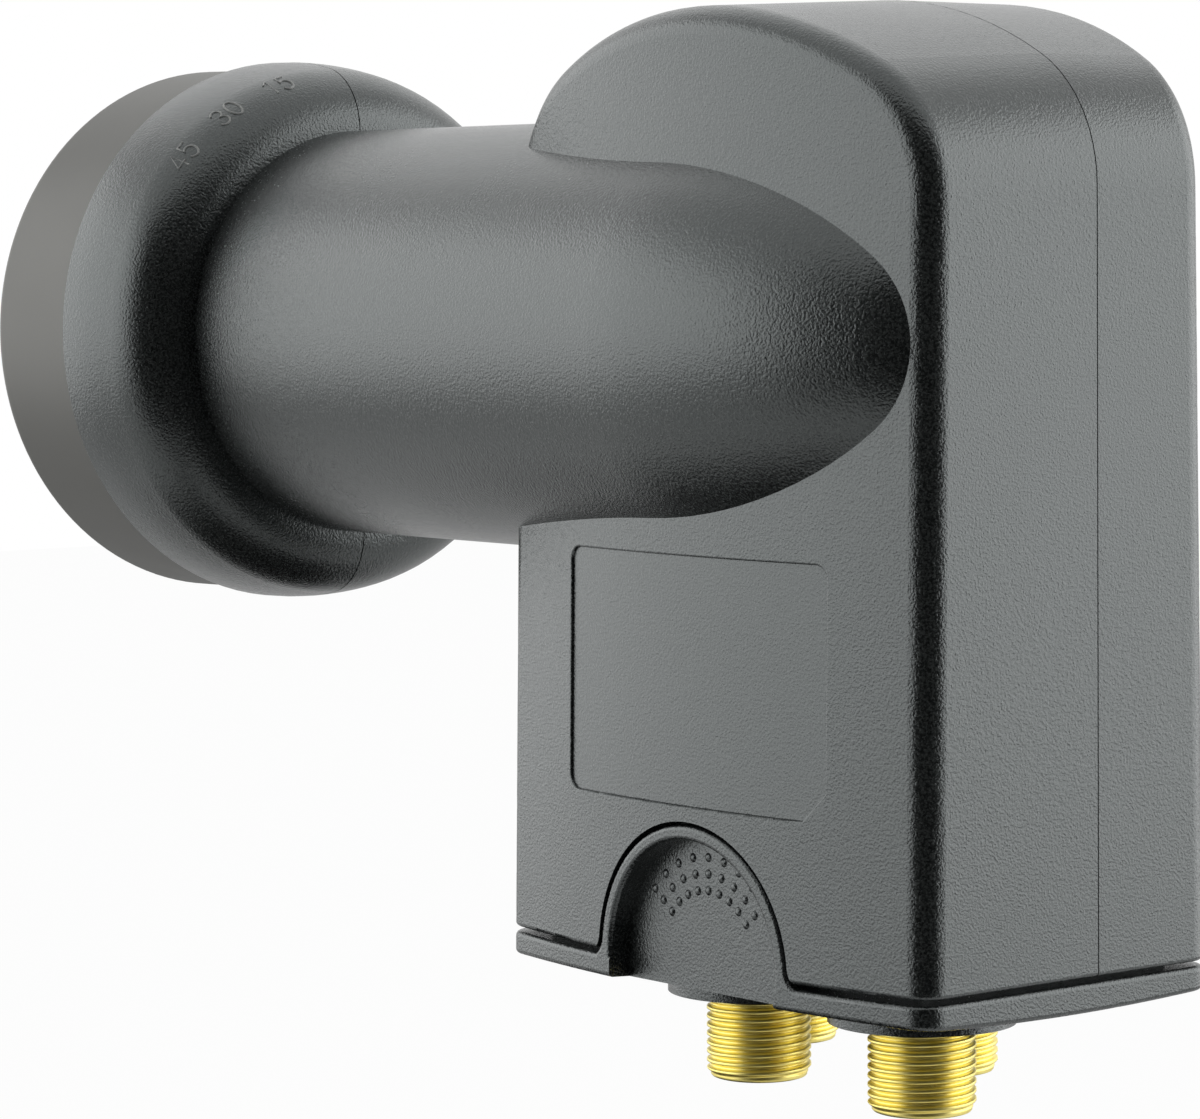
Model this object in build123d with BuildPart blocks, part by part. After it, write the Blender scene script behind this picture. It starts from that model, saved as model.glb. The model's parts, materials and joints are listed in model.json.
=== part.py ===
from build123d import *

import os
from math import cos, radians, sin, sqrt, tan

# Four-output satellite LNB: a feed horn on a clamp neck, an upright housing of two shells,
# a pull-down weather shield and four threaded coaxial sockets.
# Millimetres. The origin is on the horn axis at the middle of the clamp neck, +Y points
# forwards along the horn, +Z is up and -X is the side with the shallow rectangular recess.

# Clamp neck and bell
neck_r = 20.0
neck_length = 36.6
bell_depth = 12.55
bell_rise = 7.2
bell_shoulder_r = 0.88
bell_shoulder_y = 0.4
nose_length = 34.5
nose_tip_past = 2.1
nose_shoulder_r = 0.64
nose_shoulder_y = 0.77

# Horn cap
cap_length = 13.3
cap_rear_r = 26.45
cap_front_r = 26.7
cap_wall = 1.6
cap_edge_r = 1.1
cap_gap = 0.15
cap_fit_gap = 0.25

# Housing outline
box_depth = 56.7
box_half_thick = 17.05
box_offset_x = 6.85
face_bow = 3.2
face_draft = 0.8
end_draft = 0.3
top_z = 30.2
crown_r = 44.1
crown_slope = 2.9
front_corner_r = 15.0
back_corner_r = 13.1
edge_r = 2.6
foot_z = -54.4

# Housing shells
wall = 2.0
seam_x = 9.95
seam_gap = 0.12
lip = 0.9
lip_height = 3.0
foot_edge_r = 0.4

# Bare recess in the label-side face
recess_width = 34.2
recess_height = 21.8
recess_top_z = -18.5
recess_shift = -0.5
recess_depth = 0.25
recess_lip_r = 0.2
recess_corner_r = 1.3
recess_cut = 2.5

# Weather shield
shield_travel = 22.0
groove = 0.45
rim_height = 1.9
rim_crown = 0.7
rim_edge_r = 0.45
sleeve_gap = 0.3
sleeve_wall = 1.4
lug_height = 1.2
stop_gap = 0.2
arch_shift = -0.9
arch_r = 12.7
arch_gap = 0.35
arch_foot_r = 1.7
arch_foot_drop = 0.3
bead_width = 1.3
bead_edge_r = 0.4
grip_depth = 2.75
dot_rows = 3
dots_per_row = 9
dot_row_r = 9.35
dot_row_step = 1.47
dot_angle = 12.85
dot_r = 0.55
dot_rise = 0.2

# Coaxial sockets: two staggered rows, whose outer ends stand clear of the shield's sleeve
socket_shift = -0.3
socket_inner_y = 4.5
socket_gap = 1.15
socket_thread_r = 4.71
socket_tip_z = -66.3
thread_length = 7.5
socket_shank_r = 4.4
socket_bore_r = 3.3
socket_flange_r = 5.6
socket_flange = 2.5
socket_tip_chamfer = 0.6
insulator_recess = 0.8
contact_r = 0.55
contact_recess = 1.2
fit_gap = 0.1
collar_r = 8.2
collar_bore_r = 6.75
collar_drop = 1.7
seal_thick = 0.5
contact_rise = 3.0
contact_bend_r = 1.2
contact_window_r = 1.2
contact_lap = 5.0

# Die-cast chassis
guide_bore_r = 8.75
guide_r = 11.0
guide_depth = 40.5
guide_end_wall = 2.0
horn_flare_setback = 4.0
horn_mouth_r = 15.5
horn_rim_height = 10.5
horn_neck_r = 21.5
horn_setback = 2.0
ring_grooves = 3
ring_groove_depth = 6.0
cap_seal_wire_r = 0.9
cap_seal_setback = 3.2
cap_seal_stand = 0.15
tray_gap = 0.4
tray_base = 2.0
tray_wall = 2.0
tray_depth = 8.5
tray_step_gap = 0.8
foot_gap = 0.5
foot_block_z = -46.0
foot_block = 8.0
ledge = 1.5
ledge_width = 1.6

# Circuit board, cover and screws
board_gap = 0.4
board_thick = 1.6
gasket_thick = 0.6
cover_thick = 1.4
screw_r = 1.2
screw_head_r = 2.2
screw_head = 1.2
screw_length = 6.0
screw_post_r = 2.6
screw_setback = 1.5
screw_rows = [-22.5, -5.0, 12.5]
screw_foot_rise = 8.5
screw_clearance = 0.2
gasket_inset = 0.3

# Waveguide probes and the pin between them, with their depths behind the housing's front
probe_r = 0.6
probe_sleeve_r = 1.7
probe_front_depth = 9.0
probe_back_depth = 26.5
probe_tip = 4.6
probe_turn_z = 14.5
probe_bend_r = 1.5
probe_stub = 0.8
pin_r = 0.7
pin_depth = 16.5
pin_skin = 0.6

# Components on the board: depth and height along it, thickness, and place (from the housing's middle, z)
components = {
    "converter_chip": (9.0, 9.0, 1.0, -3.0, -1.0),
    "switch_chip": (6.0, 6.0, 0.9, 6.0, -19.0),
    "crystal": (5.0, 3.2, 1.1, 9.0, 3.0),
    "regulator": (6.5, 6.0, 2.3, -9.5, -19.0),
}
choke_r = 1.6
choke_height = 2.4
choke_rise = 10.5
choke_pitch = 7.0

# Derived places
box_front_y = -neck_length / 2
box_mid_y = box_front_y - box_depth / 2
nose_start = box_depth + nose_tip_past - nose_length
seam_step_y = box_front_y - wall / 2
bell_back_y = neck_length / 2
bell_rim_y = bell_back_y + bell_depth
cap_front_y = bell_rim_y + cap_gap + cap_length
crown_z = top_z - crown_r
bow_r = ((box_depth / 2) ** 2 + face_bow ** 2) / (2 * face_bow)
sleeve_inset = wall + lip + sleeve_gap
arch_y = box_mid_y + arch_shift
rim_top_z = foot_z - groove
rim_low_z = rim_top_z - rim_height
sleeve_top_z = foot_z + lip_height + shield_travel + lug_height + stop_gap
collar_low_z = rim_low_z - collar_drop
thread_top_z = socket_tip_z + thread_length
step_z = sleeve_top_z + tray_step_gap
grip_floor_x = box_offset_x - box_half_thick - face_bow + grip_depth
socket_room = sleeve_inset + sleeve_wall + socket_flange_r + socket_gap
socket_outer_y = box_depth / 2 - socket_room
socket_half_x = box_half_thick + face_bow / 2 - socket_room
socket_mid_y = box_mid_y + socket_shift
near_row_x = box_offset_x - socket_half_x
far_row_x = box_offset_x + socket_half_x
board_face_x = far_row_x - contact_r - fit_gap
board_x = board_face_x - board_thick
tray_base_x = board_x - ledge - tray_base
tray_rim_x = tray_base_x + tray_depth
cover_x = tray_rim_x + gasket_thick
foot_top_z = foot_block_z + foot_block
guide_back_y = box_front_y - guide_depth
horn_flare_y = bell_back_y - horn_flare_setback
horn_rim_r = min(cap_front_r, cap_rear_r) - cap_wall - cap_fit_gap
horn_mouth_y = cap_front_y - cap_wall - horn_setback
cap_seal_y = horn_mouth_y - cap_seal_setback
cap_seal_r = horn_rim_r - cap_seal_wire_r + cap_seal_stand
cap_seal_bed_r = cap_seal_r - cap_seal_wire_r - fit_gap
ring_groove = (cap_seal_bed_r - horn_mouth_r) / (2 * ring_grooves + 1)
upper_inset = wall + tray_gap
lower_inset = sleeve_inset + sleeve_wall + foot_gap
post_y = box_depth / 2 - upper_inset - tray_wall - screw_setback
foot_post_y = box_depth / 2 - lower_inset - tray_wall - screw_setback
posts = [(box_mid_y + side * post_y, z) for z in screw_rows for side in (-1, 1)]
posts += [(box_mid_y + side * foot_post_y, foot_top_z + screw_foot_rise) for side in (-1, 1)]
cover_face_x = cover_x + cover_thick
contact_z = foot_top_z + contact_rise
flange_top_z = foot_block_z - seal_thick
probe_front_y = box_front_y - probe_front_depth
probe_back_y = box_front_y - probe_back_depth
pin_y = box_front_y - pin_depth
probe_end_x = board_face_x + probe_stub
pin_half = guide_r - pin_skin
far = 100.0
socket_places = [
    (near_row_x, socket_mid_y + socket_inner_y),
    (near_row_x, socket_mid_y - socket_outer_y),
    (far_row_x, socket_mid_y + socket_outer_y),
    (far_row_x, socket_mid_y - socket_inner_y),
]
near_row = socket_places[:2]


def half_thick(z):
    """Half thickness of the housing at its upright edges, at height z."""
    return box_half_thick - tan(radians(face_draft)) * (z - foot_z)


def half_depth(z):
    """Half depth of the housing from its middle to its front or back, at height z."""
    return box_depth / 2 - tan(radians(end_draft)) * (z - foot_z)


def housing_form(inset, low_z, edge=0.0):
    """The housing's form as a solid from low_z up, drawn in all round by inset."""
    arc_r = crown_r - inset
    corner_z = crown_z + sqrt(arc_r ** 2 - (box_depth / 2 - inset) ** 2)
    corner_y = half_depth(corner_z) - inset
    corner_z = crown_z + sqrt(arc_r ** 2 - corner_y ** 2)
    low_y = half_depth(low_z) - inset
    reach = box_depth / 2 + 4.0
    side_r = bow_r - inset
    apex = half_thick(low_z) + face_bow - inset
    side = apex - (side_r - sqrt(side_r ** 2 - reach ** 2))
    with BuildPart() as form:
        with BuildSketch(Plane.YZ.offset(seam_x)) as profile:
            with BuildLine():
                Line((box_mid_y - low_y, low_z), (box_mid_y + low_y, low_z))
                Line((box_mid_y + low_y, low_z), (box_mid_y + corner_y, corner_z))
                ThreePointArc(
                    (box_mid_y + corner_y, corner_z),
                    (box_mid_y, top_z - inset),
                    (box_mid_y - corner_y, corner_z),
                )
                Line((box_mid_y - corner_y, corner_z), (box_mid_y - low_y, low_z))
            make_face()
            fillet(profile.vertices().sort_by(Axis.X)[-2:].sort_by(Axis.Y)[-1], front_corner_r - inset)
            fillet(profile.vertices().sort_by(Axis.X)[:2].sort_by(Axis.Y)[-1], back_corner_r - inset)
        extrude(amount=far)
        extrude(profile.sketch, amount=far, dir=(-1, 0, -tan(radians(crown_slope))))
        with BuildSketch(Plane.XY.offset(low_z)):
            with BuildLine():
                ThreePointArc(
                    (box_offset_x - side, box_mid_y + reach),
                    (box_offset_x - apex, box_mid_y),
                    (box_offset_x - side, box_mid_y - reach),
                )
                Line((box_offset_x - side, box_mid_y - reach), (box_offset_x + side, box_mid_y - reach))
                ThreePointArc(
                    (box_offset_x + side, box_mid_y - reach),
                    (box_offset_x + apex, box_mid_y),
                    (box_offset_x + side, box_mid_y + reach),
                )
                Line((box_offset_x + side, box_mid_y + reach), (box_offset_x - side, box_mid_y + reach))
            make_face()
        extrude(amount=top_z - low_z + 1.0, taper=face_draft, mode=Mode.INTERSECT)
        if edge > 0:
            faces = form.faces().sort_by(Axis.X)
            rims = faces[0].edges() + faces[-1].edges()
            fillet(rims.filter_by_position(Axis.Z, low_z + 1.0, top_z), edge)
    return form.part


def between(solid, low_z, high_z):
    """The slice of a solid between two heights."""
    with BuildPart() as slice_part:
        add(solid)
        split(bisect_by=Plane.XY.offset(low_z), keep=Keep.TOP)
        split(bisect_by=Plane.XY.offset(high_z), keep=Keep.BOTTOM)
    return slice_part.part


def horn_form(inset):
    """Clamp neck and bell as a solid of revolution, drawn in by inset."""
    tube_r = neck_r - inset
    back_y = bell_back_y + inset
    root_y = box_front_y - wall - 2 * inset
    with BuildPart() as form:
        with BuildSketch(Plane.XY):
            with BuildLine():
                Line((0, bell_rim_y), (0, root_y))
                Line((0, root_y), (tube_r, root_y))
                Line((tube_r, root_y), (tube_r, back_y))
                shoulder_y = back_y + (bell_rim_y - back_y) * bell_shoulder_y
                shoulder = (tube_r + bell_rise * bell_shoulder_r, shoulder_y)
                root = TangentArc((tube_r, back_y), shoulder, tangent=(1, 0))
                TangentArc(shoulder, (tube_r + bell_rise, bell_rim_y), tangent=root % 1)
                Line((tube_r + bell_rise, bell_rim_y), (0, bell_rim_y))
            make_face()
        revolve(axis=Axis.Y)
    return form.part


def nose_form(inset):
    """Rounded rear end of the neck, which swells out of the label-side face."""
    tube_r = neck_r - inset
    start_y = box_front_y - nose_start
    with BuildPart() as form:
        with BuildSketch(Plane.XY):
            with BuildLine():
                Line((0, start_y - nose_length + inset), (0, box_front_y))
                Line((0, box_front_y), (tube_r, box_front_y))
                Line((tube_r, box_front_y), (tube_r, start_y))
                shoulder = (tube_r * nose_shoulder_r, start_y - (nose_length - inset) * nose_shoulder_y)
                side = TangentArc((tube_r, start_y), shoulder, tangent=(0, -1))
                TangentArc(shoulder, (0, start_y - nose_length + inset), tangent=side % 1)
            make_face()
        revolve(axis=Axis.Y)
        split(bisect_by=Plane.YZ.offset(box_offset_x - box_half_thick + wall + inset / 2), keep=Keep.BOTTOM)
    return form.part


def arch_outline(radius, base_z, flare_r):
    """Arch over the thumb grip, standing on a base line at base_z with flared feet."""
    with BuildSketch() as outline:
        with Locations((arch_y, foot_z)):
            Circle(radius)
        with Locations((arch_y, base_z)):
            Rectangle(2 * far, far, align=(Align.CENTER, Align.MAX), mode=Mode.SUBTRACT)
            Rectangle(2 * radius + 6 * flare_r, rim_height / 2, align=(Align.CENTER, Align.MAX))
        feet = outline.vertices().sort_by_distance((arch_y, base_z))
        fillet([v for v in feet if abs(v.Y - base_z) < 0.01][:2], flare_r)
    return outline.sketch


def slab(low_x, high_x):
    """Everything between two planes across the housing's thickness."""
    with BuildPart() as block:
        with BuildSketch(Plane.YZ.offset(low_x)):
            Rectangle(4 * far, 4 * far)
        extrude(amount=high_x - low_x)
    return block.part


def stepped(inset, low_z):
    """Chassis outline: close to the shells above the shield, inside its sleeve below."""
    upper = between(housing_form(upper_inset + inset, foot_z), step_z + inset, top_z)
    lower = between(housing_form(lower_inset + inset, foot_z), low_z, step_z + inset + 1.0)
    with BuildPart() as form:
        add(upper)
        add(lower)
    return form.part


def plate(inset, low_x, high_x, foot_clearance=0.0):
    """A plate of the chassis outline, drawn in by inset, between two planes."""
    with BuildPart() as form:
        add(stepped(inset, foot_top_z + foot_clearance))
        add(slab(low_x, high_x), mode=Mode.INTERSECT)
    return form.part


def save(piece, name):
    """Label a finished piece and write it to its own file."""
    piece.label = name
    export_step(piece, f"parts/{name}.step")


os.makedirs("parts", exist_ok=True)

# Shallow rectangular recess in the label-side face
with BuildPart() as recess:
    with BuildSketch(Plane.YZ.offset(box_offset_x)) as recess_outline:
        with Locations((box_mid_y + recess_shift, recess_top_z - recess_height / 2)):
            Rectangle(recess_width, recess_height)
        low_back, *round_corners = recess_outline.vertices().sort_by(lambda corner: corner.X + corner.Y)
        fillet(round_corners, recess_corner_r)
        chamfer(recess_outline.vertices().sort_by_distance(low_back)[0], recess_cut)
    extrude(amount=-far)
    add(housing_form(recess_depth, foot_z), mode=Mode.SUBTRACT)

# Both shells as one moulded form, before it is parted
with BuildPart() as outside:
    add(housing_form(0.0, foot_z, edge_r))
    fillet(outside.edges().filter_by_position(Axis.Z, foot_z - 0.01, foot_z + 0.01), foot_edge_r)
    add(recess, mode=Mode.SUBTRACT)
    label_face = outside.faces().filter_by(lambda face: len(face.inner_wires()) > 0)[0]
    fillet(label_face.inner_wires()[0].edges(), recess_lip_r)

with BuildPart() as arch_cut:
    with BuildSketch(Plane.YZ):
        add(arch_outline(arch_r, foot_z - arch_foot_drop, arch_foot_r))
    extrude(amount=far, both=True)
    add(housing_form(sleeve_inset, foot_z - 2 * arch_foot_r), mode=Mode.SUBTRACT)

hollows = [
    housing_form(wall, foot_z + lip_height),
    housing_form(wall + lip, foot_z - 1.0),
    horn_form(wall),
    arch_cut.part,
]

# Shell on the recess side: the neck's near half, and the housing up to the seam
with BuildPart() as label_side_shell:
    add(outside)
    add(horn_form(0.0))
    with BuildSketch(Plane.XY.offset(-far)):
        with BuildLine():
            Polyline(
                (-far, -far),
                (seam_x - seam_gap / 2, -far),
                (seam_x - seam_gap / 2, seam_step_y),
                (-seam_gap / 2, seam_step_y),
                (-seam_gap / 2, far),
                (-far, far),
                close=True,
            )
        make_face()
    extrude(amount=2 * far, mode=Mode.INTERSECT)
    add(nose_form(0.0))
    for hollow in hollows:
        add(hollow, mode=Mode.SUBTRACT)
    add(nose_form(wall), mode=Mode.SUBTRACT)
save(label_side_shell.part, "label_side_shell")

# Shell on the plain side: the neck's other half, and the housing beyond the seam
with BuildPart() as plain_side_shell:
    add(outside)
    add(horn_form(0.0))
    with BuildSketch(Plane.XY.offset(-far)):
        with BuildLine():
            Polyline(
                (far, -far),
                (far, far),
                (seam_gap / 2, far),
                (seam_gap / 2, seam_step_y + seam_gap),
                (seam_x + seam_gap / 2, seam_step_y + seam_gap),
                (seam_x + seam_gap / 2, -far),
                close=True,
            )
        make_face()
    extrude(amount=2 * far, mode=Mode.INTERSECT)
    for hollow in hollows:
        add(hollow, mode=Mode.SUBTRACT)
save(plain_side_shell.part, "plain_side_shell")

# Pull-down weather shield: rim, sleeve, stop lugs, socket collars and two thumb grips
with BuildPart() as rim:
    add(housing_form(0.0, collar_low_z, edge_r))
    with BuildSketch(Plane.XZ):
        with BuildLine():
            side_x = box_half_thick + face_bow
            ThreePointArc(
                (box_offset_x - side_x, rim_low_z),
                (box_offset_x, rim_low_z - rim_crown),
                (box_offset_x + side_x, rim_low_z),
            )
            Polyline(
                (box_offset_x + side_x, rim_low_z),
                (box_offset_x + side_x, rim_top_z),
                (box_offset_x - side_x, rim_top_z),
                (box_offset_x - side_x, rim_low_z),
            )
        make_face()
    extrude(amount=2 * far, both=True, mode=Mode.INTERSECT)
    fillet(rim.faces().sort_by(Axis.Z)[-1].edges(), rim_edge_r)
    fillet(rim.faces().sort_by(Axis.Z)[0].edges(), rim_edge_r)

with BuildPart() as thumb_cut:
    with BuildSketch(Plane.YZ.offset(grip_floor_x)):
        with Locations((arch_y, foot_z)):
            Circle(arch_r - arch_gap - bead_width)
            Rectangle(2 * (arch_r - arch_gap - bead_width), far, align=(Align.CENTER, Align.MAX))
    extrude(amount=-far)

with BuildPart() as grip:
    with BuildSketch(Plane.YZ):
        add(arch_outline(arch_r - arch_gap, rim_top_z - arch_foot_drop, arch_foot_r + arch_gap))
    extrude(amount=-far)
    add(slab(-far, grip_floor_x + sleeve_wall), mode=Mode.INTERSECT)
    add(housing_form(0.0, collar_low_z), mode=Mode.INTERSECT)
    add(thumb_cut, mode=Mode.SUBTRACT)
    crest = grip.faces().sort_by(Axis.X)[0]
    fillet(crest.edges().filter_by_position(Axis.Z, rim_top_z, foot_z + arch_r), bead_edge_r)

with BuildPart() as thumb_dots:
    for row in range(dot_rows):
        row_r = dot_row_r - row * dot_row_step
        for place in range(dots_per_row):
            turn = radians(dot_angle * (place - (dots_per_row - 1) / 2))
            spot_y = arch_y + row_r * sin(turn)
            spot_z = foot_z + row_r * cos(turn)
            with Locations((grip_floor_x + dot_r - dot_rise, spot_y, spot_z)):
                Sphere(dot_r)
    add(slab(-far, grip_floor_x + sleeve_wall / 2), mode=Mode.INTERSECT)

with BuildPart() as weather_shield:
    add(rim)
    add(between(housing_form(sleeve_inset, collar_low_z), rim_top_z - rim_edge_r, sleeve_top_z))
    add(between(housing_form(wall + sleeve_gap, collar_low_z), sleeve_top_z - lug_height, sleeve_top_z))
    add(
        between(housing_form(sleeve_inset + sleeve_wall, collar_low_z), rim_top_z, sleeve_top_z),
        mode=Mode.SUBTRACT,
    )
    for x, y in socket_places:
        with BuildSketch(Plane.XY.offset(collar_low_z)):
            with Locations((x, y)):
                Circle(collar_r)
        extrude(amount=rim_top_z - collar_low_z)
    add(grip)
    mirror(grip.part, about=Plane.YZ.offset(box_offset_x))
    add(thumb_cut, mode=Mode.SUBTRACT)
    mirror(thumb_cut.part, about=Plane.YZ.offset(box_offset_x), mode=Mode.SUBTRACT)
    add(thumb_dots)
    mirror(thumb_dots.part, about=Plane.YZ.offset(box_offset_x))
    with BuildSketch(Plane.XY.offset(collar_low_z)):
        with Locations(*socket_places):
            Circle(collar_bore_r)
    extrude(amount=rim_top_z - collar_low_z + groove, mode=Mode.SUBTRACT)
save(weather_shield.part, "weather_shield")

# Press-on horn cap and its sealing ring
with BuildPart() as horn_cap:
    with BuildSketch(Plane.XY) as cap_section:
        with BuildLine():
            Polyline(
                (0, cap_front_y),
                (cap_front_r, cap_front_y),
                (cap_rear_r, bell_rim_y + cap_gap),
                (cap_rear_r - cap_wall, bell_rim_y + cap_gap),
                (cap_front_r - cap_wall, cap_front_y - cap_wall),
                (0, cap_front_y - cap_wall),
                close=True,
            )
        make_face()
        fillet(cap_section.vertices().sort_by_distance((cap_front_r, cap_front_y))[0], cap_edge_r)
    revolve(axis=Axis.Y)
save(horn_cap.part, "horn_cap")

with BuildPart() as cap_seal:
    with BuildSketch(Plane.XY):
        with Locations((cap_seal_r, cap_seal_y)):
            Circle(cap_seal_wire_r)
    revolve(axis=Axis.Y)
save(cap_seal.part, "cap_seal")

# Die-cast chassis: horn, waveguide, electronics tray and socket block
with BuildPart() as chassis_casting:
    add(plate(0.0, tray_base_x, tray_rim_x))
    add(between(housing_form(lower_inset, foot_z), foot_block_z, foot_top_z))
    add(plate(tray_wall + ledge_width, tray_base_x + tray_base, far), mode=Mode.SUBTRACT)
    add(plate(tray_wall, board_x, far), mode=Mode.SUBTRACT)
    with BuildSketch(Plane.YZ.offset(tray_base_x)):
        with Locations(*posts):
            Circle(screw_post_r)
    extrude(amount=tray_depth)
    with BuildSketch(Plane.XY):
        with BuildLine():
            Polyline(
                (0, guide_back_y - guide_end_wall),
                (guide_r, guide_back_y - guide_end_wall),
                (guide_r, horn_flare_y),
                (horn_neck_r, horn_mouth_y - horn_rim_height),
                (horn_rim_r, horn_mouth_y - horn_rim_height),
                (horn_rim_r, horn_mouth_y),
                (0, horn_mouth_y),
                close=True,
            )
        make_face()
    revolve(axis=Axis.Y)
    with BuildSketch(Plane.XY):
        with BuildLine():
            Polyline(
                (0, guide_back_y),
                (guide_bore_r, guide_back_y),
                (guide_bore_r, horn_flare_y),
                (horn_mouth_r, horn_mouth_y),
                (0, horn_mouth_y),
                close=True,
            )
        make_face()
        for ring in range(ring_grooves):
            with Locations((horn_mouth_r + (2 * ring + 1) * ring_groove, horn_mouth_y)):
                Rectangle(ring_groove, ring_groove_depth, align=(Align.MIN, Align.MAX))
        with Locations((cap_seal_bed_r, cap_seal_y)):
            Rectangle(far, 2 * (cap_seal_wire_r + fit_gap), align=(Align.MIN, Align.CENTER))
    revolve(axis=Axis.Y, mode=Mode.SUBTRACT)
    with BuildSketch(Plane.XY.offset(foot_block_z)):
        with Locations(*socket_places):
            Circle(socket_shank_r + fit_gap)
    extrude(amount=foot_block, mode=Mode.SUBTRACT)
    with BuildSketch(Plane.YZ):
        with Locations((probe_front_y, 0), (probe_back_y, probe_turn_z)):
            Circle(probe_sleeve_r + fit_gap)
        with Locations(*[(y, contact_z) for x, y in near_row]):
            Circle(contact_window_r)
    extrude(amount=board_x, mode=Mode.SUBTRACT)
    with BuildSketch(Plane.XY):
        with Locations((0, probe_back_y)):
            Circle(probe_sleeve_r + fit_gap)
    extrude(amount=guide_r, mode=Mode.SUBTRACT)
    with BuildSketch(Plane.XY):
        with Locations((0, pin_y)):
            Circle(pin_r + fit_gap)
    extrude(amount=pin_half, both=True, mode=Mode.SUBTRACT)
    with BuildSketch(Plane.YZ.offset(tray_rim_x)):
        with Locations(*posts):
            Circle(screw_r + fit_gap)
    extrude(amount=-screw_length, mode=Mode.SUBTRACT)
save(chassis_casting.part, "chassis_casting")

# Circuit board with its components
with BuildPart() as circuit_board:
    add(plate(tray_wall + board_gap, board_x, board_face_x, board_gap))
    with BuildSketch(Plane.YZ.offset(board_x)):
        with Locations(*posts):
            Circle(screw_post_r + board_gap)
        with Locations((probe_front_y, 0), (probe_back_y, probe_turn_z)):
            Circle(probe_r + fit_gap)
        with Locations(*[(y, contact_z) for x, y in near_row]):
            Circle(contact_r + fit_gap)
    extrude(amount=board_thick, mode=Mode.SUBTRACT)
save(circuit_board.part, "circuit_board")

for name, (depth, height, thick, away, z) in components.items():
    with BuildPart() as component:
        with BuildSketch(Plane.YZ.offset(board_face_x)):
            with Locations((box_mid_y + away, z)):
                Rectangle(depth, height)
        extrude(amount=thick)
    save(component.part, name)

for number in range(1, 5):
    with BuildPart() as choke:
        with BuildSketch(Plane.YZ.offset(board_face_x)):
            with Locations((box_mid_y + (number - 2.5) * choke_pitch, foot_top_z + choke_rise)):
                Circle(choke_r)
        extrude(amount=choke_height)
    save(choke.part, f"choke_{number}")

# Gasket, screening cover and its screws
with BuildPart() as cover_gasket:
    add(plate(gasket_inset, tray_rim_x, cover_x))
    add(plate(tray_wall - gasket_inset, tray_rim_x, cover_x), mode=Mode.SUBTRACT)
save(cover_gasket.part, "cover_gasket")

with BuildPart() as screen_cover:
    add(plate(fit_gap, cover_x, cover_face_x))
    with BuildSketch(Plane.YZ.offset(cover_x)):
        with Locations(*posts):
            Circle(screw_r + screw_clearance)
    extrude(amount=cover_thick, mode=Mode.SUBTRACT)
save(screen_cover.part, "screen_cover")

with BuildPart() as cover_screws:
    with BuildSketch(Plane.YZ.offset(cover_face_x)):
        with Locations(*posts):
            Circle(screw_head_r)
    extrude(amount=screw_head)
    with BuildSketch(Plane.YZ.offset(cover_face_x)):
        with Locations(*posts):
            Circle(screw_r)
    extrude(amount=-screw_length)
save(cover_screws.part, "cover_screws")

# Waveguide probes in their sleeves, and the reflecting pin between them
with BuildPart() as front_probe:
    with BuildSketch(Plane.YZ.offset(probe_tip)):
        with Locations((probe_front_y, 0)):
            Circle(probe_r)
    extrude(amount=probe_end_x - probe_tip)
save(front_probe.part, "front_probe")

with BuildPart() as front_probe_sleeve:
    with BuildSketch(Plane.YZ.offset(guide_bore_r)):
        with Locations((probe_front_y, 0)):
            Circle(probe_sleeve_r)
            Circle(probe_r + fit_gap, mode=Mode.SUBTRACT)
    extrude(amount=board_x - fit_gap - guide_bore_r)
save(front_probe_sleeve.part, "front_probe_sleeve")

with BuildPart() as back_probe:
    with BuildLine():
        FilletPolyline(
            (0, probe_back_y, probe_tip),
            (0, probe_back_y, probe_turn_z),
            (probe_end_x, probe_back_y, probe_turn_z),
            radius=probe_bend_r,
        )
    with BuildSketch(Plane((0, probe_back_y, probe_tip))):
        Circle(probe_r)
    sweep()
save(back_probe.part, "back_probe")

with BuildPart() as back_probe_sleeve:
    with BuildSketch(Plane.XY.offset(guide_bore_r)):
        with Locations((0, probe_back_y)):
            Circle(probe_sleeve_r)
            Circle(probe_r + fit_gap, mode=Mode.SUBTRACT)
    extrude(amount=guide_r - guide_bore_r)
save(back_probe_sleeve.part, "back_probe_sleeve")

with BuildPart() as reflector_pin:
    with BuildSketch(Plane.XY):
        with Locations((0, pin_y)):
            Circle(pin_r)
    extrude(amount=pin_half - fit_gap, both=True)
save(reflector_pin.part, "reflector_pin")

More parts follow.
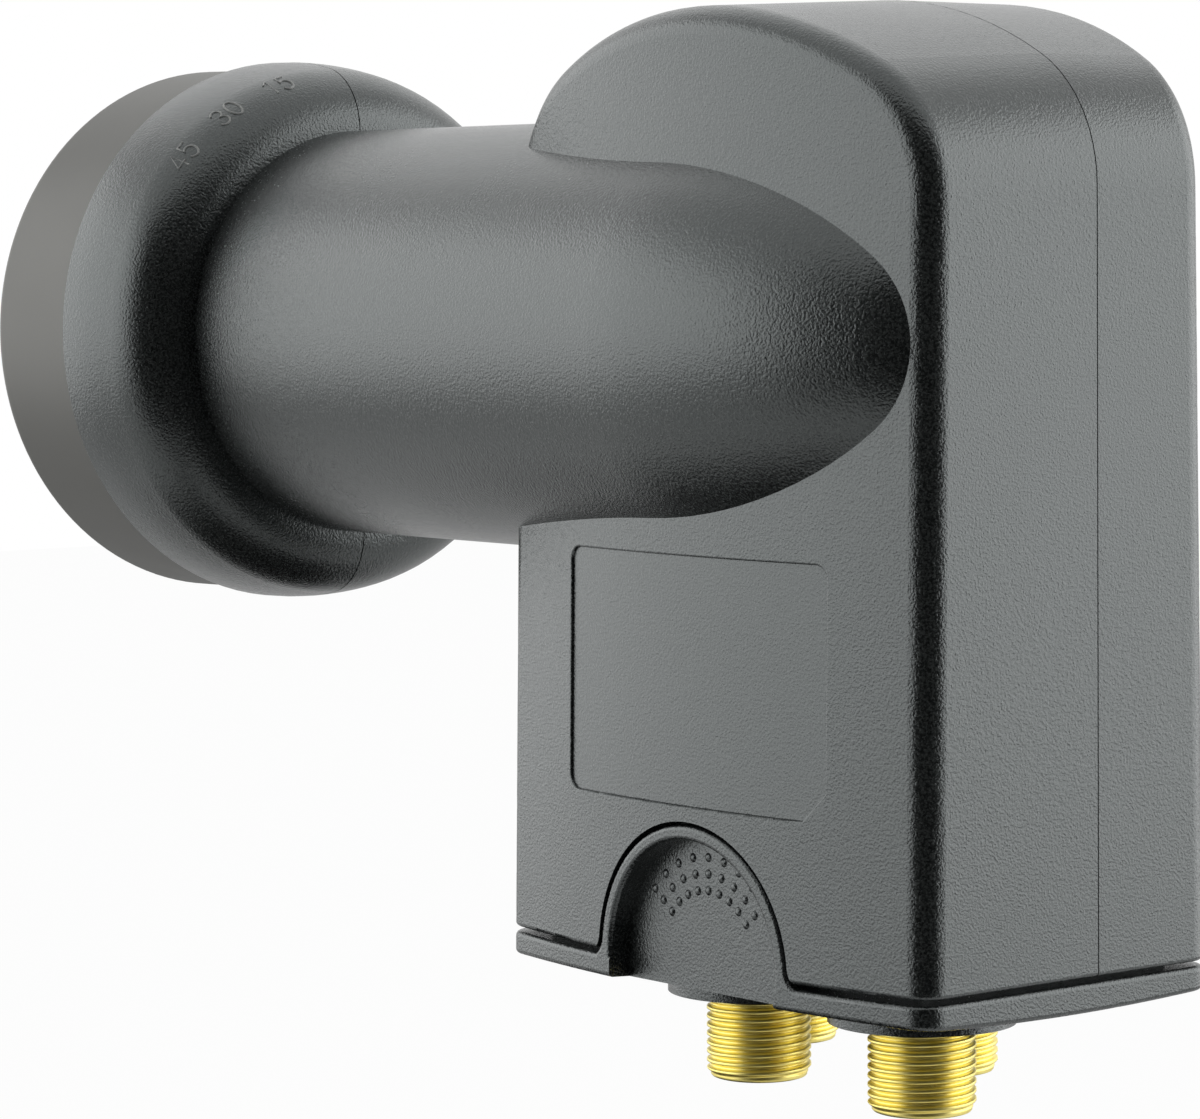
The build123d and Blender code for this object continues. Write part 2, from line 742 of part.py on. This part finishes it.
# Coaxial sockets, each with its seal, insulator and centre contact
for number, (x, y) in enumerate(socket_places, 1):
    with BuildPart() as f_socket:
        with BuildSketch(Plane.XY.offset(socket_tip_z)):
            with Locations((x, y)):
                Circle(socket_thread_r)
        extrude(amount=thread_length)
        chamfer(f_socket.edges().sort_by(Axis.Z)[0], socket_tip_chamfer)
        with BuildSketch(Plane.XY.offset(thread_top_z)):
            with Locations((x, y)):
                Circle(socket_shank_r)
        extrude(amount=foot_top_z - thread_top_z)
        with BuildSketch(Plane.XY.offset(flange_top_z)):
            with Locations((x, y)):
                Circle(socket_flange_r)
        extrude(amount=-socket_flange)
        with BuildSketch(Plane.XY.offset(socket_tip_z)):
            with Locations((x, y)):
                Circle(socket_bore_r)
        extrude(amount=foot_top_z - socket_tip_z, mode=Mode.SUBTRACT)
    save(f_socket.part, f"f_socket_{number}")

    with BuildPart() as socket_seal:
        with BuildSketch(Plane.XY.offset(flange_top_z)):
            with Locations((x, y)):
                Circle(socket_flange_r)
                Circle(socket_shank_r + fit_gap, mode=Mode.SUBTRACT)
        extrude(amount=seal_thick)
    save(socket_seal.part, f"socket_seal_{number}")

    with BuildPart() as socket_insulator:
        with BuildSketch(Plane.XY.offset(socket_tip_z + insulator_recess)):
            with Locations((x, y)):
                Circle(socket_bore_r - fit_gap)
                Circle(contact_r + fit_gap, mode=Mode.SUBTRACT)
        extrude(amount=foot_top_z - socket_tip_z - insulator_recess)
    save(socket_insulator.part, f"socket_insulator_{number}")

# The near contacts bend over to the board, the far ones run up its face
for number, (x, y) in enumerate(socket_places, 1):
    tip_z = socket_tip_z + contact_recess
    with BuildPart() as socket_contact:
        with BuildLine():
            if (x, y) in near_row:
                FilletPolyline(
                    (x, y, tip_z), (x, y, contact_z), (probe_end_x, y, contact_z), radius=contact_bend_r
                )
            else:
                Line((x, y, tip_z), (x, y, foot_top_z + contact_lap))
        with BuildSketch(Plane((x, y, tip_z))):
            Circle(contact_r)
        sweep()
    save(socket_contact.part, f"socket_contact_{number}")
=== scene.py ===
import json
from math import cos, pi, radians, sin

import bpy
from mathutils import Matrix, Vector


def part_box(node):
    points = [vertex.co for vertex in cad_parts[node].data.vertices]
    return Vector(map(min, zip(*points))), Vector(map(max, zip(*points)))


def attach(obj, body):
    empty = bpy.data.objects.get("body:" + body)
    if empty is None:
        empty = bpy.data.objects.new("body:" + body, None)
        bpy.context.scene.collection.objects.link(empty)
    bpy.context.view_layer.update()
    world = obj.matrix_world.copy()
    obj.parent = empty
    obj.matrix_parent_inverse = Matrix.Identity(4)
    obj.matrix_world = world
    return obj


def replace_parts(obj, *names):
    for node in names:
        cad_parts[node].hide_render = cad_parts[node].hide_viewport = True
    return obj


MM = 0.001

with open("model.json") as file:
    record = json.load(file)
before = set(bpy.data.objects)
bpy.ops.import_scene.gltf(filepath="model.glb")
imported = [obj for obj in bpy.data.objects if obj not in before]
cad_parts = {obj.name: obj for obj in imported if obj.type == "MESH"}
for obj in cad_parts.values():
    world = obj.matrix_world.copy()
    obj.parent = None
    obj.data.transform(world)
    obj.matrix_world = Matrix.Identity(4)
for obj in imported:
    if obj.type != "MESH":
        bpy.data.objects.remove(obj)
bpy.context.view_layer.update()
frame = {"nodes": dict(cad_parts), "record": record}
nodes = frame["nodes"]


# Finishes

class Value:
    """A number that varies over a surface. Arithmetic on it adds the nodes that work it out."""

    def __init__(self, finish, socket):
        self.finish = finish
        self.socket = socket

    def math(self, operation, first, second):
        return self.finish.node("ShaderNodeMath", {"operation": operation}, {0: first, 1: second})

    def __add__(self, other):
        return self.math("ADD", self, other)

    def __sub__(self, other):
        return self.math("SUBTRACT", self, other)

    def __rsub__(self, other):
        return self.math("SUBTRACT", other, self)

    def __mul__(self, other):
        return self.math("MULTIPLY", self, other)

    __radd__ = __add__
    __rmul__ = __mul__

    def above(self, limit):
        return self.math("GREATER_THAN", self, limit)

    def below(self, limit):
        return self.math("LESS_THAN", self, limit)

    def at_least(self, other):
        return self.math("MAXIMUM", self, other)


class Finish:
    """A material or a world with the nodes it is made from."""

    # A Mix node's two colours share their names with its other sockets, so they go by number
    first_colour = 6
    second_colour = 7
    mixed_colour = 2

    def __init__(self, holder):
        holder.use_nodes = True
        self.holder = holder
        self.tree = holder.node_tree

    def fill(self, socket, value):
        """Links a varying value to a socket, or sets a plain one on it."""
        if isinstance(value, Value):
            self.tree.links.new(value.socket, socket)
        else:
            socket.default_value = value

    def node(self, kind, settings=None, inputs=None, output=0):
        """Adds a node: its settings first, then its sockets' values or links."""
        made = self.tree.nodes.new(kind)
        for name, value in (settings or {}).items():
            setattr(made, name, value)
        for name, value in (inputs or {}).items():
            self.fill(made.inputs[name], value)
        return Value(self, made.outputs[output])

    def dress(self, **inputs):
        """Sets the main shader's sockets, given as base_color for Base Color and so on."""
        shader = self.tree.nodes["Principled BSDF"]
        for name, value in inputs.items():
            label = name.replace("_", " ").title().replace("Ior", "IOR")
            self.fill(shader.inputs[label], value)
        return self.holder

    def place(self):
        return self.node("ShaderNodeTexCoord", output="Object")

    def ray(self, kind):
        """1 for rays of a kind, such as Camera, and 0 for others."""
        return self.node("ShaderNodeLightPath", output=f"Is {kind} Ray")

    def grain(self, size, detail=2.0, rough=0.5):
        """Even three-dimensional noise whose lumps are about size across, in metres."""
        return self.node(
            "ShaderNodeTexNoise",
            {},
            {"Vector": self.place(), "Scale": 1.0 / size, "Detail": detail, "Roughness": rough},
        )

    def inside(self, low, high):
        """1 within a box given by two corners in metres, 0 outside it."""
        share = 1.0
        for axis in range(3):
            along = self.node("ShaderNodeSeparateXYZ", {}, {"Vector": self.place()}, output=axis)
            share = along.above(low[axis]) * share
            share = along.below(high[axis]) * share
        return share

    def blend(self, share, first, second):
        """Two colours mixed by a share from 0 to 1."""
        return self.node(
            "ShaderNodeMix",
            {"data_type": "RGBA"},
            {
                "Factor": share,
                self.first_colour: (*first, 1.0),
                self.second_colour: (*second, 1.0),
            },
            output=self.mixed_colour,
        )

    def relief(self, height, distance, strength):
        return self.node(
            "ShaderNodeBump", {}, {"Height": height, "Distance": distance, "Strength": strength}
        )


# Moulded plastic: what its lumps and a wide, faint mottle do to shade and gloss
lump_detail = 1.5
lump_rough = 0.6
lump_shade = 4.0
lump_gloss = 0.1
mottle_spread = 60
mottle_shade = 0.3
mottle_gloss = 0.06
least_shade = 0.35
polished_away = 0.3


def moulded(
    name,
    dark,
    pale,
    roughness,
    spark,
    depth,
    strength,
    sheen=0.5,
    tint=(1.0, 1.0, 1.0),
    smooth=None,
):
    """Moulded plastic whose mould was spark eroded: fine lumps spark across and depth high.

    Within the box smooth, if one is given, the mould was polished and the lumps are lower.
    """
    finish = Finish(bpy.data.materials.new(name))
    lumps = finish.grain(spark, lump_detail, lump_rough)
    if smooth:
        lumps = (lumps - 0.5) * (1.0 - polished_away * finish.inside(*smooth)) + 0.5
    mottle = finish.grain(mottle_spread * spark)
    shade = lump_shade * (lumps - 0.5) + mottle_shade * mottle + least_shade
    return finish.dress(
        base_color=finish.blend(shade, dark, pale),
        roughness=roughness + lump_gloss * (lumps - 0.5) + mottle_gloss * (mottle - 0.5),
        specular_ior_level=sheen,
        specular_tint=(*tint, 1.0),
        normal=finish.relief(lumps, depth, strength),
    )


# Plated metal: broad clouds and fine turning marks
cloud_size = 1.5 * MM
cloud_detail = 3.0
cloud_gloss = 0.12
mark_size = 0.12 * MM
mark_depth = 0.01 * MM
mark_strength = 0.25
mark_gloss = 0.08


def plated(name, dark, pale, roughness):
    """Bright plated metal, a little uneven, with fine turning marks."""
    finish = Finish(bpy.data.materials.new(name))
    cloud = finish.grain(cloud_size, cloud_detail)
    marks = finish.grain(mark_size)
    return finish.dress(
        base_color=finish.blend(cloud, dark, pale),
        metallic=1.0,
        roughness=roughness + cloud_gloss * (cloud - 0.5) + mark_gloss * (marks - 0.5),
        normal=finish.relief(marks, mark_depth, mark_strength),
    )


# Bare metal: the skin that casting or drawing leaves
skin_size = 0.5 * MM
skin_detail = 4.0
skin_depth = 0.03 * MM
skin_strength = 0.4
skin_gloss = 0.2


def cast(name, dark, pale, roughness):
    """Die-cast or drawn bare metal."""
    finish = Finish(bpy.data.materials.new(name))
    skin = finish.grain(skin_size, skin_detail)
    return finish.dress(
        base_color=finish.blend(skin, dark, pale),
        metallic=1.0,
        roughness=roughness + skin_gloss * (skin - 0.5),
        normal=finish.relief(skin, skin_depth, skin_strength),
    )


# Corners of a box round the floor of the shallow recess
recess_box = (
    Vector((-14.0, -64.2, -40.2)) * MM,
    Vector((-10.0, -30.1, -18.6)) * MM,
)

finishes = {
    "housing_plastic": moulded(
        "anthracite_grain",
        (0.003, 0.004, 0.004),
        (0.042, 0.046, 0.045),
        roughness=0.25,
        spark=0.23 * MM,
        depth=0.06 * MM,
        strength=1.0,
        sheen=1.0,
        tint=(0.935, 1.0, 0.995),
        smooth=recess_box,
    ),
    "cap_plastic": moulded(
        "cap_grey",
        (0.062, 0.062, 0.056),
        (0.07, 0.07, 0.064),
        roughness=0.5,
        spark=0.16 * MM,
        depth=0.01 * MM,
        strength=0.3,
        sheen=1.0,
        tint=(1.0, 1.0, 0.95),
    ),
    "gold_plate": plated("gold_plate", (0.93, 0.75, 0.15), (1.0, 0.89, 0.36), roughness=0.4),
    "plated_brass": plated("plated_brass", (0.66, 0.5, 0.24), (0.78, 0.62, 0.33), roughness=0.26),
    "cast_alloy": cast("cast_alloy", (0.5, 0.51, 0.52), (0.66, 0.67, 0.68), roughness=0.45),
    "steel": cast("plain_steel", (0.5, 0.5, 0.5), (0.62, 0.62, 0.61), roughness=0.35),
    "board": moulded(
        "solder_mask",
        (0.02, 0.12, 0.05),
        (0.03, 0.17, 0.07),
        roughness=0.35,
        spark=0.5 * MM,
        depth=0.01 * MM,
        strength=0.2,
    ),
    "chip": moulded(
        "chip_black",
        (0.012, 0.012, 0.013),
        (0.02, 0.02, 0.021),
        roughness=0.5,
        spark=0.15 * MM,
        depth=0.01 * MM,
        strength=0.3,
    ),
    "insulator": moulded(
        "insulator_white",
        (0.74, 0.73, 0.68),
        (0.82, 0.81, 0.77),
        roughness=0.4,
        spark=0.3 * MM,
        depth=0.01 * MM,
        strength=0.2,
    ),
    # The raised figures are housing plastic painted pale grey: a painted highlight that stands
    # for light catching the strokes
    "figure_painted_highlight": moulded(
        "figure_painted_highlight",
        (0.36, 0.37, 0.36),
        (0.46, 0.47, 0.46),
        roughness=0.4,
        spark=0.2 * MM,
        depth=0.01 * MM,
        strength=0.2,
    ),
    "rubber": moulded(
        "seal_rubber",
        (0.012, 0.012, 0.012),
        (0.022, 0.022, 0.022),
        roughness=0.65,
        spark=0.3 * MM,
        depth=0.02 * MM,
        strength=0.3,
    ),
}

for row in frame["record"]["subparts"]:
    surfaces = nodes[row["node"]].data.materials
    surfaces.clear()
    surfaces.append(finishes[row["material_slot"]])


# Threaded sockets

def add_piece(name, points, faces, slot, body):
    """A smooth mesh piece that takes a slot's finish and rides on a body."""
    mesh = bpy.data.meshes.new(name)
    mesh.from_pydata(points, [], faces)
    mesh.polygons.foreach_set("use_smooth", [True] * len(faces))
    mesh.materials.append(finishes[slot])
    piece = bpy.data.objects.new(name, mesh)
    bpy.context.scene.collection.objects.link(piece)
    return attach(piece, body)


socket_count = 4
socket_length = 28.3 * MM
shank_r = 4.4 * MM
flange_r = 5.6 * MM
flange_low = 17.3 * MM
flange_high = 19.8 * MM
bore_r = 3.3 * MM
bore_edge = 0.1 * MM
bore_edge_rise = 0.15 * MM

thread_r = 4.71 * MM
thread_pitch = 0.79375 * MM
thread_depth = 0.36 * MM
thread_length = 7.5 * MM
thread_run = 0.5 * thread_pitch
thread_sides = 72
rows_per_pitch = 10
lead_length = 0.35 * MM

# Shares of the way from the middle of a root to the middle of a crest
root_flat = 0.14
flank = 0.62

# The rounded tip: how far inside the thread's root, and at what rise
tip_profile = ((0.35 * MM, 0.0), (0.1 * MM, 0.08 * MM), (0.0, 0.2 * MM))


def clamped(share):
    return min(1.0, max(0.0, share))


def thread_radius(rise, turn):
    """Radius of the threaded barrel at a height above its tip, at a turn in radians."""
    phase = (rise / thread_pitch - turn / (2 * pi)) % 1.0
    climb = clamped((1.0 - abs(2.0 * phase - 1.0) - root_flat) / flank)
    crest = climb * climb * (3 - 2 * climb)
    run_in = clamped((rise - lead_length) / thread_run)
    run_out = clamped((thread_length - rise) / thread_run)
    return thread_r - thread_depth * (1 - crest * run_in * run_out)


def socket_rings():
    """Rings from the tip's inner edge up the outside and back down the bore.

    Each is a radius, a rise above the tip and whether it is threaded.
    """
    root_r = thread_r - thread_depth
    rings = [(bore_r + bore_edge, 0.0, False)]
    rings += [(root_r - inset, rise, False) for inset, rise in tip_profile]
    threaded_length = thread_length - lead_length
    steps = round(threaded_length / thread_pitch * rows_per_pitch)
    for step in range(steps + 1):
        rings.append((thread_r, lead_length + threaded_length * step / steps, True))
    rings += [
        (shank_r, thread_length, False),
        (shank_r, flange_low, False),
        (flange_r, flange_low, False),
        (flange_r, flange_high, False),
        (shank_r, flange_high, False),
        (shank_r, socket_length, False),
        (bore_r, socket_length, False),
        (bore_r, bore_edge_rise, False),
    ]
    return rings


def turned_socket(name, node):
    """A threaded coaxial socket in the place of its plain solid."""
    low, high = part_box(node)
    centre = Vector(((low.x + high.x) / 2, (low.y + high.y) / 2, low.z))
    rings = socket_rings()
    points = []
    for radius, rise, threaded in rings:
        for side in range(thread_sides):
            turn = 2 * pi * side / thread_sides
            r = thread_radius(rise, turn) if threaded else radius
            points.append(centre + Vector((r * cos(turn), r * sin(turn), rise)))
    faces = []
    for ring in range(len(rings)):
        here = ring * thread_sides
        above = (ring + 1) % len(rings) * thread_sides
        for side in range(thread_sides):
            beside = (side + 1) % thread_sides
            faces.append((here + side, here + beside, above + beside, above + side))
    piece = add_piece(name, points, faces, "gold_plate", "housing")
    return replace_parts(piece, node)


for number in range(1, socket_count + 1):
    turned_socket(f"threaded_socket_{number}", f"f_socket_{number}")


# Raised figures of the angle scale on the bell

neck_r = 20.0 * MM
bell_root_y = 18.3 * MM
bell_shoulder_r = 6.51 * MM
figure_height = 2.3 * MM
figure_width = 1.25 * MM
figure_gap = 0.55 * MM
figure_stroke_r = 0.11 * MM
figure_slope = radians(61)
scale_turn = radians(2.25)
scale_marks = (15, 30, 45)


def round_stroke(centre, size, start, end, steps=14):
    """Part of an oval as points, from one angle in degrees to another."""
    turns = [radians(start + (end - start) * step / steps) for step in range(steps + 1)]
    return [(centre[0] + size[0] * cos(a), centre[1] + size[1] * sin(a)) for a in turns]


# Strokes of each figure in a unit square
figure_strokes = {
    "0": [round_stroke((0.5, 0.5), (0.5, 0.5), 0, 360, 28)],
    "1": [[(0.2, 0.78), (0.62, 1.0), (0.62, 0.0)]],
    "3": [
        round_stroke((0.48, 0.75), (0.44, 0.25), 160, -90)
        + round_stroke((0.46, 0.25), (0.5, 0.25), 90, -160)
    ],
    "4": [[(0.74, 0.0), (0.74, 1.0), (0.0, 0.3), (1.0, 0.3)]],
    "5": [
        [(0.92, 1.0), (0.2, 1.0), (0.1, 0.52)]
        + round_stroke((0.45, 0.33), (0.52, 0.33), 120, -150)
    ],
}


def on_bell(angle, along, up):
    """Point on the bell: angle from the top, then a distance sideways and one towards the rim."""
    slope = figure_slope + up / bell_shoulder_r
    radius = neck_r + bell_shoulder_r * sin(slope)
    turn = angle - along / radius
    y = bell_root_y + bell_shoulder_r * (1 - cos(slope))
    return Vector((-radius * sin(turn), y, radius * cos(turn)))


def scale_figures(name, degrees):
    """The figures of one mark of the scale, as raised strokes."""
    line = bpy.data.curves.new(name, "CURVE")
    line.dimensions = "3D"
    line.bevel_depth = figure_stroke_r
    line.bevel_resolution = 2
    line.use_fill_caps = True
    text = str(degrees)
    total = len(text) * figure_width + (len(text) - 1) * figure_gap
    for place, figure in enumerate(text):
        left = place * (figure_width + figure_gap) - total / 2
        for stroke in figure_strokes[figure]:
            spline = line.splines.new("POLY")
            spline.points.add(len(stroke) - 1)
            for point, (across, up) in zip(spline.points, stroke):
                spot = on_bell(
                    radians(degrees) + scale_turn,
                    left + across * figure_width,
                    (up - 0.5) * figure_height,
                )
                point.co = (*spot, 1.0)
    # The strokes take the pale grey of their painted highlight
    line.materials.append(finishes["figure_painted_highlight"])
    piece = bpy.data.objects.new(name, line)
    bpy.context.scene.collection.objects.link(piece)
    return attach(piece, "housing")


for mark in scale_marks:
    scale_figures(f"scale_{mark}", mark)


# Camera at the photograph's viewing angle

camera_place = Vector((-0.258765, -0.341028, 0.008873))
camera_heading = radians(51.180)
camera_dip = radians(4.1215)
camera_roll = radians(-0.3537)
camera_sensor_mm = 36.0
camera_lens_mm = 132.51
camera_near = 0.01

upright = Vector((0, 0, 1))
ahead = Vector((cos(camera_heading), sin(camera_heading), 0.0))
level_right = Vector((sin(camera_heading), -cos(camera_heading), 0.0))
sight = cos(camera_dip) * ahead - sin(camera_dip) * upright
level_up = sin(camera_dip) * ahead + cos(camera_dip) * upright
image_right = cos(camera_roll) * level_right + sin(camera_roll) * level_up
image_up = -sin(camera_roll) * level_right + cos(camera_roll) * level_up

camera = bpy.data.objects.new("camera", bpy.data.cameras.new("camera"))
camera.data.sensor_fit = "HORIZONTAL"
camera.data.sensor_width = camera_sensor_mm
camera.data.lens = camera_lens_mm
camera.data.clip_start = camera_near
camera.matrix_world = Matrix(
    (
        (image_right.x, image_up.x, -sight.x, camera_place.x),
        (image_right.y, image_up.y, -sight.y, camera_place.y),
        (image_right.z, image_up.z, -sight.z, camera_place.z),
        (0, 0, 0, 1),
    )
)
bpy.context.scene.collection.objects.link(camera)
bpy.context.scene.camera = camera


# Studio: a pale floor, three soft boxes and two dark flags that the camera doesn't see

floor_z = -0.5
floor_size = 12.0
floor_grey = 0.86
floor_white_seen = 0.97
floor_white_mirrored = 0.5
flag_grey = 0.01
flag_roughness = 0.9
room_light = 0.3
white = (1.0, 1.0, 1.0, 1.0)


def add_sheet(name, centre, size, facing):
    """A flat square of the stage, looking along facing."""
    half = size / 2
    mesh = bpy.data.meshes.new(name)
    corners = [(-half, -half, 0), (half, -half, 0), (half, half, 0), (-half, half, 0)]
    mesh.from_pydata(corners, [], [(0, 1, 2, 3)])
    sheet = bpy.data.objects.new(name, mesh)
    sheet.rotation_euler = Vector(facing).to_track_quat("Z", "Y").to_euler()
    sheet.location = centre
    bpy.context.scene.collection.objects.link(sheet)
    return sheet


floor = add_sheet("floor", (0, 0, floor_z), floor_size, upright)
floor_finish = Finish(bpy.data.materials.new("floor_paper"))
whiteness = (
    floor_white_seen * floor_finish.ray("Camera")
    + floor_white_mirrored * floor_finish.ray("Glossy")
)
paper = floor_finish.node(
    "ShaderNodeBsdfDiffuse", {}, {"Color": (floor_grey, floor_grey, floor_grey, 1.0)}
)
glow = floor_finish.node("ShaderNodeEmission", {}, {"Color": white, "Strength": 1.0})
floor_mix = floor_finish.node("ShaderNodeMixShader", {}, {0: whiteness, 1: paper, 2: glow})
floor_surface = floor_finish.tree.nodes["Material Output"].inputs["Surface"]
floor_finish.tree.links.new(floor_mix.socket, floor_surface)
floor.data.materials.append(floor_finish.holder)

flag_cloth = Finish(bpy.data.materials.new("flag_cloth")).dress(
    base_color=(flag_grey, flag_grey, flag_grey, 1.0), roughness=flag_roughness
)


def add_flag(name, centre, size, facing):
    """A dark cloth for the part to mirror, hidden from the camera."""
    flag = add_sheet(name, centre, size, facing)
    flag.visible_camera = False
    flag.data.materials.append(flag_cloth)
    return flag


add_flag(
    "camera_flag",
    centre=-0.62 * sight + 0.18 * level_right - 0.3 * upright,
    size=1.76,
    facing=sight,
)
add_flag("low_flag", centre=(0, 0.027, -0.14), size=0.175, facing=upright)


def add_soft_box(name, centre, target, width, height, power):
    """A large soft lamp."""
    lamp = bpy.data.lights.new(name, "AREA")
    lamp.shape = "RECTANGLE"
    lamp.size = width
    lamp.size_y = height
    lamp.energy = power
    box = bpy.data.objects.new(name, lamp)
    box.location = centre
    box.rotation_euler = (Vector(target) - Vector(centre)).to_track_quat("-Z", "Y").to_euler()
    bpy.context.scene.collection.objects.link(box)
    return box


add_soft_box("left_box", (-0.731, 0.682, 0.22), (0, 0, 0.22), width=2.2, height=1.02, power=8.4)
add_soft_box("right_box", (0.8, -0.549, 0.2), (0, 0, 0.2), width=1.24, height=1.0, power=6.4)
add_soft_box("top_box", (0.35, 0.45, 0.8), (0, 0, 0), width=1.2, height=1.0, power=1.6)

# The room lights the part softly, and is white where the camera or a mirror sees it
world = bpy.data.worlds.new("studio")
bpy.context.scene.world = world
sky = Finish(world)
backdrop = sky.tree.nodes["Background"]
backdrop.inputs["Color"].default_value = white
shown = (sky.ray("Camera") + sky.ray("Glossy")).at_least(sky.ray("Transmission"))
sky.fill(backdrop.inputs["Strength"], room_light + (1.0 - room_light) * shown)

bpy.context.scene.view_settings.view_transform = "Standard"
